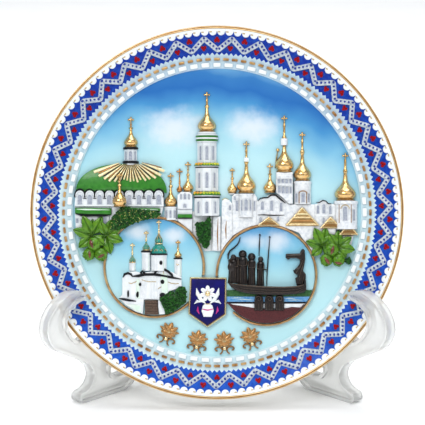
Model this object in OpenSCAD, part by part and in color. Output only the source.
// Souvenir relief plate of cast resin, standing in a folding clear stand.
// World frame: +Z up, +Y away from the viewer, origin under the middle of the bounding box.
// Plate frame: x right, y up the face, z out of the face, origin at the middle of the well floor.

/* [Plate] */
// Diameter over the rim; the picture and the stand keep their proportion to it
plate_d = 200; // [150:10:250]
// How far the rim stands in front of the well floor
rim_rise = 8; // [7:0.5:9]
// Thickness of the casting behind the well floor
floor_t = 6; // [5:0.5:7]

/* [Stand] */
// How far the plate leans back from upright, in degrees
lean = 15; // [14.5:0.25:15.5]
// Angle between each leg and the middle plane, in degrees
splay = 43.4; // [43:0.2:44]
// Width of the rails that edge each leg
rail_t = 7; // [6:0.5:7]
// Thickness of the web between the rails
web_t = 3; // [2.5:0.5:4]
// Radius of the hinge pin
pin_r = 1.5; // [1:0.25:2]

/* [Hidden] */

design_d = 200;              // every length below is written for a plate of this diameter
k = plate_d / design_d;

// plate casting
rim_r = design_d / 2;
well_r = 77;                 // edge of the flat well floor
ledge_r = 84;                // outer edge of the narrow ledge round the well
ledge_z = 1.2;
rim_edge_t = 3;              // thickness of the rim at its edge
rim_back_z = rim_rise - rim_edge_t;
rim_lip = 1.4;               // width of the flat gilded edge
foot_r = 54;                 // foot ring on the back
foot_w = 4;
foot_h = 3.5;
well_back_r = 79;
trim_h = 0.7;                // height of the raised rim ornament
slope = (rim_rise - ledge_z) / (rim_r - rim_lip - ledge_r);

// rim ornament
zigzags = 39;
zig_in = 87.2;
zig_out = 93.6;
zig_w = 1.9;
berry_in = 88.3;
berry_out = 92.6;
berry_r = 1.15;
scallops = 137;
scallop_r = 96.6;            // valley of the scalloped edging
scallop_out = 98.4;
bead_count = 108;
bead_r = 82.6;
peg_count = 80;
peg_r = 79.4;

// levels above the well floor
wall_z = 3;
disc_z = 1.6;
front_z = 4.2;

// medallions, as centre and radius
left_disc = [-33.7, -29.4];
right_disc = [26.6, -33.7];
disc_r = 26;
ring_r = 27.4;
ring_z = 2.8;
gap = 0.05;                  // glue line between neighbouring reliefs

// shield outline
shield = [[-14.5, -34.7], [5.2, -34.9], [4.9, -55], [-5.1, -61.8], [-15.4, -54.6]];
shield_z = 2.4;

// stand: outline of a leg in its own plane, distance from the hinge and height
rail_w = 1.8;                // width of a rail, seen from the side
leg_offset = rail_t / 2 + 0.4; // each leg lies beside the hinge axis, so that the two fold flat
knuckle_r = 4.5;
pin_clear = 0.05;
strap_low = 17.6;            // the strap between the foot and the hinge
strap_high = 38.4;
knuckle_split = [24.5, 31.5];
side_gap = 0.2;              // half the gap between neighbouring knuckles
belly_u = 130;               // furthest point of a leg from the hinge
hinge_y = (belly_u * cos(splay) - knuckle_r) / 2;
// where the rim rests: height of its lowest point, and its distance in front of the hinge
rim_low_z = 6;
rim_low_y = hinge_y - 86.5;

// ---- small helpers ----

function mix(a, b, t) = a + (b - a) * t;

function arc(c, r, a0, a1, n) =
    [for (i = [0 : n]) c + r * [cos(mix(a0, a1, i / n)), sin(mix(a0, a1, i / n))]];

function mirrored(points) = [for (p = points) [-p[0], p[1]]];

// one stretch of a Catmull-Rom curve from b to c
function stretch(a, b, c, d, n) =
    [for (i = [0 : n - 1]) let (t = i / n)
        0.5 * (2 * b + (c - a) * t + (2 * a - 5 * b + 4 * c - d) * t * t
            + (3 * b - a - 3 * c + d) * t * t * t)];

function smooth_loop(p, n) =
    let (m = len(p))
    [for (i = [0 : m - 1])
        each stretch(p[(i + m - 1) % m], p[i], p[(i + 1) % m], p[(i + 2) % m], n)];

// a closed outline moved inwards by w, for an outline that runs anticlockwise
function inset(p, w) =
    let (m = len(p))
    [for (i = [0 : m - 1])
        let (t = p[(i + 1) % m] - p[(i + m - 1) % m], l = norm(t))
        p[i] + w * [-t[1], t[0]] / l];

function ring_point(r, a) = [r * sin(a), r * cos(a)];

module slab(points, z0, h) {
    translate([0, 0, z0]) linear_extrude(h) polygon(points);
}

module block(x0, x1, y0, y1, z0, z1) {
    translate([x0, y0, z0]) cube([x1 - x0, y1 - y0, z1 - z0]);
}

// half of a turned shape lying on the plane z = 0; the profile lists radius and height
module half_turned(profile) {
    intersection() {
        rotate([-90, 0, 0]) rotate_extrude($fn = 32) polygon(profile);
        block(-30, 30, -1, 60, 0, 30);
    }
}

module half_drum(r, h) {
    intersection() {
        rotate([-90, 0, 0]) cylinder(r = r, h = h, $fn = 48);
        block(-30, 30, -1, 60, 0, 30);
    }
}

// outline of an onion dome of radius r and height h, with a neck for the cross
function onion(r, h) = [
    [0, 0], [0.82 * r, 0], [0.96 * r, 0.1 * h], [r, 0.2 * h], [0.96 * r, 0.3 * h],
    [0.78 * r, 0.44 * h], [0.5 * r, 0.57 * h], [0.3 * r, 0.7 * h], [0.18 * r, 0.85 * h],
    [0.14 * r, h], [0, h]
];

module cross(h) {
    block(-0.45, 0.45, -0.1, h, 0, 0.9);
    block(-1.1, 1.1, h * 0.62, h * 0.62 + 0.8, 0, 0.9);
}

// onion dome with its mast, knob and cross; total height is h, the dome takes dome_h
module cupola(x, y, z, r, dome_h, h) {
    translate([x, y, z]) {
        half_turned(onion(r, dome_h));
        block(-0.5, 0.5, dome_h - 0.2, h - 3, 0, 1);
        translate([0, h - 3.1, 0]) cross(3.1);
    }
}

// stands plate-frame children up on the rest
module in_front_of_hinge() {
    translate([0, rim_low_y, rim_low_z]) rotate([90 - lean, 0, 0])
        translate([0, rim_r, -rim_rise]) children();
}

module on_plate() {
    scale(k) in_front_of_hinge() children();
}

// ---- plate ----

plate_profile = [
    [0, 0], [well_r, 0], [well_r + 0.6, ledge_z], [ledge_r, ledge_z],
    [rim_r - rim_lip, rim_rise], [rim_r - 0.3, rim_rise],
    [rim_r, rim_rise - 0.6], [rim_r, rim_back_z + 0.8], [rim_r - 0.8, rim_back_z],
    [well_back_r + 4, -floor_t * 0.5], [well_back_r, -floor_t],
    [foot_r + foot_w / 2, -floor_t], [foot_r + foot_w / 2 - 0.6, -floor_t - foot_h],
    [foot_r - foot_w / 2 + 0.6, -floor_t - foot_h], [foot_r - foot_w / 2, -floor_t],
    [0, -floor_t]
];

module plate_body() {
    color("white") on_plate() rotate_extrude($fn = 180) polygon(plate_profile);
}

// band of height h that follows the sloping rim between two radii
module rim_band(r0, r1, h) {
    rotate_extrude($fn = 180) polygon([
        [r0, rim_z(r0)], [r1, rim_z(r1)], [r1, rim_z(r1) + h], [r0, rim_z(r0) + h]
    ]);
}

function rim_z(r) = ledge_z + (r - ledge_r) * slope;

module rim_scallops() {
    color("white") on_plate() intersection() {
        rim_band(94.6, scallop_out, trim_h * 0.6);
        linear_extrude(20) difference() {
            circle(r = rim_r, $fn = 180);
            polygon([for (i = [0 : scallops - 1]) each [
                ring_point(scallop_r, 360 * i / scallops),
                ring_point(scallop_r - 1.1, 360 * (i + 0.25) / scallops),
                ring_point(scallop_r - 1.5, 360 * (i + 0.5) / scallops),
                ring_point(scallop_r - 1.1, 360 * (i + 0.75) / scallops)
            ]]);
        }
    }
}

function zig_radius(i, d) = (i % 2 == 0 ? zig_in : zig_out) + d;

module rim_zigzag() {
    half = zig_w * 0.64;
    color("gainsboro") on_plate() intersection() {
        rim_band(85.2, 95.6, trim_h);
        linear_extrude(20) difference() {
            polygon([for (i = [0 : 2 * zigzags - 1]) ring_point(zig_radius(i, half), 180 * i / zigzags)]);
            polygon([for (i = [0 : 2 * zigzags - 1]) ring_point(zig_radius(i, -half), 180 * i / zigzags)]);
        }
    }
}

module rim_berries() {
    color("darkred") on_plate() intersection() {
        rim_band(86, 95, trim_h);
        union() for (i = [0 : 2 * zigzags - 1])
            rotate(-180 * i / zigzags)
                translate([0, i % 2 == 0 ? berry_out : berry_in, 0])
                    cylinder(r = berry_r, h = 20, $fn = 6);
    }
}

module gold_beads() {
    color("goldenrod") on_plate() for (i = [0 : bead_count - 1])
        rotate(-360 * i / bead_count) block(-1.45, 1.45, bead_r - 0.75, bead_r + 0.75, ledge_z, ledge_z + 0.8);
}

module white_pegs() {
    color("white") on_plate() for (i = [0 : peg_count - 1])
        rotate(-360 * i / peg_count) block(-2.15, 2.15, peg_r - 1.1, peg_r + 1.1, ledge_z, ledge_z + 1.2);
}

// ---- footprints of what stands in front, cut out of the buildings behind ----

module leaf_area(side) {
    fan = side < 0
        ? [[-64.2, -10.5, 150, 11], [-64.2, -10.5, 118, 10.5], [-64.2, -10.5, 78, 10.5],
           [-64.2, -10.5, 40, 12], [-63, -12, 0, 12.5], [-66, -13, 195, 9]]
        : [[60.5, -15.5, 155, 13.5], [60.5, -15.5, 118, 9.5], [60.5, -15.5, 84, 9.5],
           [60.5, -15.5, 50, 11], [61, -16, 12, 13], [60.5, -17, -28, 12]];
    for (f = fan) translate([f[0], f[1]]) rotate(f[2])
        polygon([[-1, 0], [f[3] * 0.35, -2.4], [f[3] * 0.7, -2.9], [f[3], 0],
            [f[3] * 0.7, 2.9], [f[3] * 0.35, 2.4]]);
    translate(burr_centre(side)) circle(r = 6.2, $fn = 24);
}

function burr_centre(side) = side < 0 ? [-65.5, -19.5] : [62, -22.5];

module front_cut() {
    for (c = [left_disc, right_disc]) translate([c[0], c[1], -1]) cylinder(r = ring_r + gap, h = 20, $fn = 96);
    slab([for (p = shield) p + [p[0] < -5 ? -gap : gap, p[1] > -50 ? gap : -gap]], -1, 20);
    for (side = [-1, 1]) translate([0, 0, -1]) linear_extrude(20) leaf_area(side);
}

module behind() {
    on_plate() difference() {
        children();
        front_cut();
    }
}

// ---- buildings on the left ----

rotunda_x = -46.4;

module rotunda_wall() {
    color("white") behind() difference() {
        union() {
            block(-76.5, -28.5, 3, 10.4, 0, wall_z);
            slab([[-76.6, 2.9], [-76.4, -9], [-61, -9], [-61, -2.5], [-30, -2.5], [-30, 2.9]], 0, 2);
        }
        difference() {
            translate([0, 0, -1]) cylinder(r = 90, h = 9, $fn = 180);
            translate([0, 0, -2]) cylinder(r = well_r - 0.3, h = 11, $fn = 180);
        }
        block(-55.9, -48.5, -3, 2.9, 1.9, 9);
    }
}

module rotunda_dome() {
    color("forestgreen") behind() slab(concat(
        [[-75.6, 10.5], [-27.2, 10.5]],
        [for (a = [10 : 10 : 170]) [rotunda_x - 5 + 24.4 * cos(a), 10.5 + 16 * sin(a)]]
    ), 0, wall_z);
}

module rotunda_rays() {
    color("gold") on_plate() difference() {
        translate([rotunda_x, 26, wall_z]) for (i = [-7 : 7])
            rotate(i * 11.5) block(-0.45, 0.45, -9.5 - abs(i) * 0.75, -2.4, 0, 0.5);
        block(-53.8, -50.6, 9, 22, 0, 9);
    }
}

module rotunda_lantern() {
    color("white") on_plate() translate([rotunda_x, 0, 0]) {
        translate([0, 28.4, 0]) half_drum(3.4, 5);
        translate([0, 26.8, 0]) half_drum(4.2, 1.5);
        translate([0, 33.5, 0]) half_drum(4, 1.6);
    }
}

module rotunda_finial() {
    color("gold") on_plate() cupola(rotunda_x + 0.3, 35.2, 0, 3.6, 9, 16.2);
}

module rotunda_porch_roof() {
    color("seagreen") behind() {
        block(-76.3, -56.2, -1.8, 2.6, 2, 4);
        block(-48.2, -30.5, 0, 2.6, 2, 4);
    }
}

module chapel_cupola_left() {
    color("gold") on_plate() cupola(-52.2, 3.2, wall_z, 3.6, 9.5, 17);
}

module chapel_cupola_right() {
    color("gold") on_plate() cupola(-24.9, 3.1, 0.2, 3.4, 9.5, 18);
}

module side_chapel() {
    color("white") behind() {
        translate([-24.9, -4, 0]) half_drum(3.4, 7);
        block(-21.2, -13.2, -14, 1.7, 0, 2);
        block(-21.2, -13.2, 1.8, 11, 0, 2.6);
        block(-29.9, -21.4, -14, -4.2, 0, 1.8);
        color("green") block(-21.2, -13.2, -3.2, -0.9, 2, 3.2);
    }
}

module side_chapel_cupolas() {
    color("gold") on_plate() {
        cupola(-15.6, 11.3, 0, 2.9, 7.6, 16);
        cupola(-20.1, 11.1, 0, 1.5, 4.6, 12.5);
    }
}

// ---- bell tower ----

tower_x = -5.4;
tower_tiers = [[-1.8, 9.4, 6.9], [11.4, 12.4, 6.2], [26.6, 11.2, 5.2]]; // foot, height, radius

module bell_tower() {
    color("white") behind() translate([tower_x, 0, 0]) for (t = tower_tiers)
        translate([0, t[0], 0]) half_drum(t[2], t[1]);
}

module bell_tower_cornices() {
    color("green") on_plate() translate([tower_x, 0, 0]) {
        translate([0, 7.7, 0]) half_drum(7.5, 3.6);
        translate([0, 23.9, 0]) half_drum(6.7, 2.6);
        translate([0, 37.9, 0]) half_drum(5.9, 5.3);
    }
}

module bell_tower_dome() {
    color("gold") on_plate() cupola(tower_x, 43.3, 0, 5, 12, 21.6);
}

module buttress_wall() {
    color("whitesmoke") behind() {
        slab([[2.3, -20.8], [8.2, -20.8], [8.2, 4.8], [2.3, 7.3]], 0, 2.6);
        block(-2.6, 2.2, -20.8, -2, 0, 2);
    }
}

// ---- church right of the tower ----

module trinity_church() {
    color("white") behind() {
        block(8.3, 21.2, -13, 10.2, 0, 2.2);
        translate([15.6, -2.5, 2.2]) intersection() {
            half_drum(3.6, 12.6);
            block(-5, 5, 0, 13, 0, 2.6);
        }
    }
}

module trinity_cupolas() {
    color("gold") on_plate() {
        cupola(15.8, 10.4, 0, 5, 13.6, 27.8);
        cupola(8.1, 10.4, 0, 2.6, 6.8, 13.4);
    }
}

// ---- cathedral ----

module cathedral_walls() {
    color("white") behind() difference() {
        slab([[21.4, -12], [52.5, -12], [52.5, 4.4], [38.5, 4.4], [32, 9.8],
              [29, 10], [26, 8], [21.4, 6.4]], 0, 2.6);
        gable_cut();
    }
}

module cathedral_drums() {
    color("white") on_plate() {
        slab([[31.6, 10.3], [38.5, 4.5], [40.8, 4.5], [40.8, 21.8], [31.6, 21.8]], 0, 4);
        translate([45.9, 4.5, 0]) half_drum(4.8, 12.4);
    }
}

module cathedral_cupolas() {
    color("gold") on_plate() {
        cupola(36.2, 21.9, 0, 4.9, 13.6, 30.4);
        cupola(45.9, 17, 0, 4.8, 12.4, 26.3);
        cupola(27.4, 10.1, 0, 2.7, 7, 17);
    }
}

module east_wall() {
    color("white") behind() difference() {
        slab([[52.7, -12], [62.6, -12], [62.6, 4.6], [60, 5], [58, 6.6], [55.6, 6.6],
              [53.6, 4.6]], 0, 2.4);
        gable_cut();
    }
}

module east_tower() {
    color("white") behind() difference() {
        translate([69.3, -9, 0]) half_drum(6.3, 15.2);
        gable_cut();
    }
}

module east_tower_dome() {
    color("gold") on_plate() cupola(69, 6.4, 0, 5.7, 13.4, 25.8);
}

// gilded gables, as middle, foot, half width and height
gables = [[27.8, -7.2, 5.6, 4.8], [45.8, -7.2, 8.8, 9.8], [61, -8.6, 5.4, 6.2], [70.6, -12.2, 4.8, 6.4]];

function gable(g) = [[g[0] - g[2], g[1]], [g[0] + g[2], g[1]], [g[0], g[1] + g[3]]];

module gable_cut() {
    for (g = gables) slab(gable([g[0], g[1] - 0.1, g[2] + 0.15, g[3] + 0.25]), -1, 20);
}

module gold_gables() {
    color("gold") behind() for (g = gables) slab(gable(g), 0, 4.6);
}

module terrace_wall() {
    color("whitesmoke") behind() slab([[50, -25], [66, -36], [67.5, -26], [71, -24], [73.5, -12.4],
        [65.8, -12.4], [65.6, -12.1], [50, -12.1]], 0, 2);
}

// ---- planting ----

module garden_hedge() {
    color("darkgreen") behind() {
        slab([[-57.6, -9], [-55.8, -1.9], [-52, 1], [-49, 2.8], [-48.4, -0.1], [-30.4, -0.1],
              [-30.2, -2.4], [-38, -9]], 4.05, 1.9);
    }
}

module poplar_tree() {
    color("darkgreen") behind() slab([[-11.8, -5.8], [-8, -4.9], [-3.4, -1.9], [-3.2, -12],
        [-5, -19.4], [-7.2, -18.6], [-10.6, -13]], 2.7, 2.2);
}

module garden_shrub() {
    color("darkgreen") behind() slab([[68, -25.8], [71.4, -24.2], [71.6, -28], [69.6, -27.9]], 0, 3);
}

// ---- medallions ----

module medallion_disc(c) {
    on_plate() translate([c[0], c[1], 0]) cylinder(r = disc_r, h = disc_z, $fn = 96);
}

module medallion_ring(c) {
    on_plate() difference() {
        translate([c[0], c[1], 0]) rotate_extrude($fn = 96)
            polygon([[disc_r + gap, 0], [ring_r, 0], [ring_r, ring_z - 0.6],
                [ring_r - 0.5, ring_z], [disc_r + 0.4, ring_z], [disc_r + gap, ring_z - 0.6]]);
        slab([for (p = shield) p + [p[0] < -5 ? -gap : gap, p[1] > -50 ? gap : -gap]], -1, 20);
        for (side = [-1, 1]) translate([0, 0, -1]) linear_extrude(20) leaf_area(side);
    }
}

module left_medallion_disc() {
    color("lightblue") difference() {
        medallion_disc(left_disc);
        on_plate() front_trim();
    }
}

module right_medallion_disc() {
    color("lightblue") difference() {
        medallion_disc(right_disc);
        on_plate() front_trim();
    }
}

module front_trim() {
    slab([for (p = shield) p + [p[0] < -5 ? -gap : gap, p[1] > -50 ? gap : -gap]], -1, 20);
    for (side = [-1, 1]) translate([0, 0, -1]) linear_extrude(20) leaf_area(side);
}

module left_medallion_ring() {
    color("goldenrod") medallion_ring(left_disc);
}

module right_medallion_ring() {
    color("goldenrod") medallion_ring(right_disc);
}

module hill_church_body() {
    color("white") on_plate() slab([[-52.4, -46], [-50.6, -44], [-50.6, -35], [-49.6, -33.2],
        [-43.6, -31.4], [-34, -31.4], [-29.2, -30.2], [-24, -33.2], [-18.9, -34.6],
        [-18.9, -40.2], [-25, -42.2], [-30.6, -45.2], [-30.8, -46.8], [-39, -46.8], [-39.8, -54.6],
        [-44, -53], [-49, -49.6]], disc_z, front_z - disc_z);
}

// towers of the hill church, as middle, foot, radius and height
hill_towers = [[-31.2, -31.3, 4.3, 8.6], [-38, -31.3, 2.4, 10.2], [-45.4, -31.3, 1.8, 4.2],
    [-20.9, -34.1, 2, 9.6]];

module hill_church_towers() {
    color("white") on_plate() difference() {
        for (t = hill_towers) translate([t[0], t[1], disc_z]) half_drum(t[2], t[3]);
        slab([[-36, -31.5], [-34, -31.35], [-29.2, -30.15], [-24, -33.15], [-18, -34.8], [-18, -40],
            [-36, -40]], disc_z - 1, 20);
    }
}

module hill_church_domes() {
    color("teal") on_plate() {
        cupola(-31.2, -22.6, disc_z, 4.1, 9, 18);
        cupola(-38, -21, disc_z, 1.9, 5.2, 11);
        cupola(-45.4, -27, disc_z, 1.6, 4.8, 10.4);
        cupola(-20.9, -24.4, disc_z, 1.9, 4.6, 9.4);
    }
}

step_d = 0.97;               // depth of a step, seen from the front

module hill_church_steps() {
    color("sienna") on_plate() for (i = [0 : 7])
        block(-38.8, -31 + i * 0.08, -47 - (i + 1) * step_d, -47.04 - i * step_d, disc_z, disc_z + 1 + i * 0.25);
}

module hill_church_bush() {
    color("darkgreen") on_plate() difference() {
        slab([[-30.4, -45.4], [-25, -42.4], [-18.8, -40.4], [-16.4, -41.2], [-16.6, -48.2],
            [-22, -52.2], [-28, -54.7], [-30, -50]], disc_z, 2.8);
        front_trim();
    }
}

module river_bank() {
    color("steelblue") on_plate() difference() {
        intersection() {
            union() {
                block(0, 54, -47.6, -43.4, disc_z, disc_z + 1);
                block(0, 54, -50.2, -47.65, disc_z, disc_z + 1.4);
            }
            translate([right_disc[0], right_disc[1], 0]) cylinder(r = disc_r - 0.1, h = 20, $fn = 96);
        }
        block(19.6, 36.6, -53, -43, disc_z - 1, 20);
        front_trim();
    }
}

module plaza_ground() {
    color("brown") on_plate() difference() {
        intersection() {
            block(-2, 56, -62, -50.25, disc_z, disc_z + 1.6);
            translate([right_disc[0], right_disc[1], 0]) cylinder(r = disc_r - 0.1, h = 20, $fn = 96);
        }
        block(19.6, 36.6, -52.7, -43, disc_z - 1, 20);
        front_trim();
    }
}

module boat_hull() {
    color("dimgray") on_plate() slab([[5.9, -37.6], [26, -38.8], [46, -38.8], [47.6, -36], [47.8, -41.6],
        [46, -43.2], [40, -44], [22, -44], [12, -42.6], [7.4, -40.4]], disc_z + 1.45, 3);
}

module boat_piers() {
    color("dimgray") on_plate() for (x = [22.4, 28, 33.6])
        block(x - 2.5, x + 2.5, -52.6, -44.1, disc_z, disc_z + 3.6);
}

// crew, as middle, foot, height and shoulder radius
crew = [[8.4, -37.5, 16, 2.9], [13.8, -37.8, 18.2, 2.9], [18.6, -38.1, 17, 2.3], [23.2, -38.4, 16.2, 2.3]];

module boat_crew() {
    color("dimgray") on_plate() for (c = crew) translate([c[0], c[1], disc_z])
        half_turned([[0, 0], [c[3] * 0.95, 0], [c[3] * 0.8, c[2] * 0.45], [c[3] * 0.86, c[2] * 0.68],
            [c[3] * 0.45, c[2] * 0.78], [1.1, c[2] * 0.9], [0.5, c[2]], [0, c[2]]]);
}

module boat_spears() {
    color("dimgray") on_plate() {
        translate([22.6, -22, disc_z]) rotate(-3) block(-0.35, 0.35, 0, 10.2, 0, 0.9);
        translate([26.6, -38.4, disc_z]) rotate(-4) block(-0.35, 0.35, 0, 25.6, 0, 0.9);
        slab([[5.6, -21], [8.4, -17.6], [10.6, -15.4], [12, -12.6], [12.8, -12.7], [11.4, -16],
            [9.2, -18.2], [6.6, -21.3]], disc_z, 0.9);
    }
}

module boat_figurehead() {
    color("dimgray") on_plate() slab([[42.6, -38.7], [41.8, -33.4], [44.2, -29.6], [44.4, -25.2],
        [38.6, -25.4], [36.8, -24.2], [37, -22.4], [44.6, -22.2], [45.6, -19.8], [47, -20],
        [47.4, -24], [46.4, -30], [47.7, -33], [47.5, -35.9], [45.9, -38.7]], disc_z, 3.4);
}

// ---- shield and ornaments ----

shield_inner = [[-13.6, -35.7], [4.3, -35.9], [4, -54.4], [-5.1, -60.6], [-14.5, -54]];

module shield_frame() {
    color("goldenrod") on_plate() difference() {
        slab(shield, 0, shield_z + 0.6);
        slab(shield_inner, -1, 20);
    }
}

module shield_field() {
    color("navy") on_plate() slab([for (p = shield_inner)
        p + [p[0] < -5.1 ? gap : -gap, p[1] > -50 ? -gap : gap]], 0, shield_z);
}

// flower in a vase on the shield
module shield_emblem() {
    color("white") on_plate() translate([-5, -56, shield_z]) linear_extrude(0.9) union() {
        polygon([[-2.6, 0], [2.6, 0], [3.4, 5.2], [-3.4, 5.2]]);
        polygon([[-0.6, 5], [0.6, 5], [0.6, 12], [-0.6, 12]]);
        for (s = [-1, 1]) {
            polygon([[0, 5.6], [s * 4.6, 7.4], [s * 6.6, 13.4], [s * 3, 10.4]]);
            polygon([[0, 10.4], [s * 5.4, 13], [s * 6, 18.2], [s * 2.6, 14.4]]);
        }
        polygon([[-2.8, 11.6], [2.8, 11.6], [3.2, 17.6], [1.4, 15.4], [0, 18.6], [-1.4, 15.4], [-3.2, 17.6]]);
    }
}

// row of four palmettes on an arc, as degrees from the middle of the foot
ornament_r = 69.6;
ornaments = [-22, -8.6, 3.2, 15];

module gold_ornaments() {
    color("goldenrod") on_plate() for (a = ornaments)
        rotate(a) translate([0, -ornament_r, 0]) linear_extrude(1.8) union() {
            polygon([[-5.4, -5.6], [5.4, -5.6], [3.6, -3.6], [-3.6, -3.6]]);
            polygon([[0, -4.4], [2.4, 1.2], [0, 6.2], [-2.4, 1.2]]);
            for (s = [-1, 1]) polygon([[0, -4.2], [s * 4.4, -2.8], [s * 6.2, 3.4], [s * 3, 0.6]]);
        }
}

// ---- chestnut twigs ----

module leaves(side) {
    on_plate() linear_extrude(4.2) leaf_area(side);
}

module chestnut_leaves_left() {
    color("limegreen") leaves(-1);
}

module chestnut_leaves_right() {
    color("limegreen") leaves(1);
}

module burrs(side) {
    c = burr_centre(side);
    on_plate() for (p = [[-0.4, 2.6, 3.6], [-3.2, -3, 3], [3.2, -3, 3]])
        translate([c[0] + p[0], c[1] + p[1], 4.2]) intersection() {
            sphere(r = p[2], $fn = 32);
            block(-5, 5, -5, 5, 0, 5);
        }
}

module chestnut_burrs_left() {
    color("olivedrab") burrs(-1);
}

module chestnut_burrs_right() {
    color("olivedrab") burrs(1);
}

// ---- stand ----

// anticlockwise outline of a leg: foot, hooked front, seat, back rest and the arm to the hinge
leg_points = [
    [71, 0.6], [78, 0], [90, 0], [102, 0], [106.4, 1.8], [105.6, 5.4], [100.8, 6.8], [97.2, 9.6],
    [95.6, 14.4], [98.6, 20], [105, 24.4], [116, 30], [125, 35.6], [129.6, 45.6],
    [125.4, 55.4], [116.4, 61.6], [107.6, 63.2], [102, 61.8], [101.6, 58.2], [107.6, 56.6],
    [113, 53], [115, 47.4], [112.4, 41], [108.4, 36.6], [104.6, 34.8], [100.6, 36.4],
    [95.6, 40.2], [89.6, 43.8], [82.8, 46], [78.8, 48.8], [75.6, 56], [72.7, 64],
    [69.7, 72], [66.8, 80], [63.8, 88], [60.8, 96], [58, 103], [55, 105.4],
    [51.8, 103.4], [52.2, 94], [55, 80], [58.8, 66],
    [62.4, 54], [63, 46], [57, 40.6], [44, 38.6], [24, 38.4], [-6, 38.4],
    [-6, 17.6], [24, 17.6], [48, 18.6], [66, 19.6], [78.4, 19], [83.4, 14.8], [81.6, 10.8],
    [77, 9.4], [70.4, 9.4], [65.2, 8.6], [65.4, 4]
];
leg_steps = 3;
leg_outline = smooth_loop(leg_points, leg_steps);
leg_pocket = smooth_loop(inset(leg_points, rail_w), leg_steps);

// leg in its own plane: x away from the hinge, y its thickness, z up
module leg_plane() {
    intersection() {
        rotate([90, 0, 0]) difference() {
            translate([0, 0, -rail_t / 2]) linear_extrude(rail_t) polygon(leg_outline);
            for (z = [-rail_t, web_t / 2])
                translate([0, 0, z]) linear_extrude(rail_t - web_t / 2) polygon(leg_pocket);
        }
        translate([knuckle_r + 0.7, -rail_t, 0]) cube([150, 2 * rail_t, 120]);
    }
}

// one eye of the hinge between two heights, with the tongue that joins it to its leg
module knuckle(z0, z1, side) {
    outer = leg_offset + rail_t / 2;
    translate([0, 0, z0]) difference() {
        union() {
            cylinder(r = knuckle_r, h = z1 - z0, $fn = 48);
            linear_extrude(z1 - z0) polygon([[-1, side * knuckle_r * 0.97], [4, side * outer],
                [10, side * outer], [10, side * 0.4], [4, side * 0.4], [0, 0]]);
        }
        translate([0, 0, -1]) cylinder(r = pin_r + pin_clear, h = z1 - z0 + 2, $fn = 48);
    }
}

module leg(side) {
    difference() {
        translate([0, hinge_y, 0]) rotate(-90 + side * splay) {
            translate([0, side * leg_offset, 0]) leg_plane();
            if (side > 0) {
                knuckle(knuckle_split[0] + side_gap, knuckle_split[1] - side_gap, side);
            } else {
                knuckle(strap_low, knuckle_split[0] - side_gap, side);
                knuckle(knuckle_split[1] + side_gap, strap_high, side);
            }
        }
        // the hook's tip is cut parallel to the plate's face, so that the plate lifts out past it
        in_front_of_hinge() block(-110, 110, -56, -30, 0, rim_rise + 0.8);
    }
}

module left_leg() {
    color("gainsboro", 0.5) scale(k) leg(-1);
}

module right_leg() {
    color("gainsboro", 0.5) scale(k) leg(1);
}

module hinge_pin() {
    color("gainsboro") scale(k) translate([0, hinge_y, 0]) {
        translate([0, 0, strap_low - 1.4]) cylinder(r = pin_r, h = strap_high - strap_low + 2.8, $fn = 48);
        translate([0, 0, strap_low - 1.6]) cylinder(r = pin_r + 1.6, h = 1.4, $fn = 48);
        translate([0, 0, strap_high + 0.2]) cylinder(r = pin_r + 1.6, h = 1.4, $fn = 48);
    }
}

plate_body();
rim_scallops();
rim_zigzag();
rim_berries();
gold_beads();
white_pegs();
rotunda_wall();
rotunda_dome();
rotunda_rays();
rotunda_lantern();
rotunda_finial();
rotunda_porch_roof();
chapel_cupola_left();
chapel_cupola_right();
side_chapel();
side_chapel_cupolas();
bell_tower();
bell_tower_cornices();
bell_tower_dome();
buttress_wall();
trinity_church();
trinity_cupolas();
cathedral_walls();
cathedral_drums();
cathedral_cupolas();
east_wall();
east_tower();
east_tower_dome();
gold_gables();
terrace_wall();
garden_hedge();
poplar_tree();
garden_shrub();
left_medallion_disc();
left_medallion_ring();
hill_church_body();
hill_church_towers();
hill_church_domes();
hill_church_steps();
hill_church_bush();
right_medallion_disc();
right_medallion_ring();
river_bank();
plaza_ground();
boat_hull();
boat_piers();
boat_crew();
boat_spears();
boat_figurehead();
shield_frame();
shield_field();
shield_emblem();
gold_ornaments();
chestnut_leaves_left();
chestnut_burrs_left();
chestnut_leaves_right();
chestnut_burrs_right();
left_leg();
right_leg();
hinge_pin();
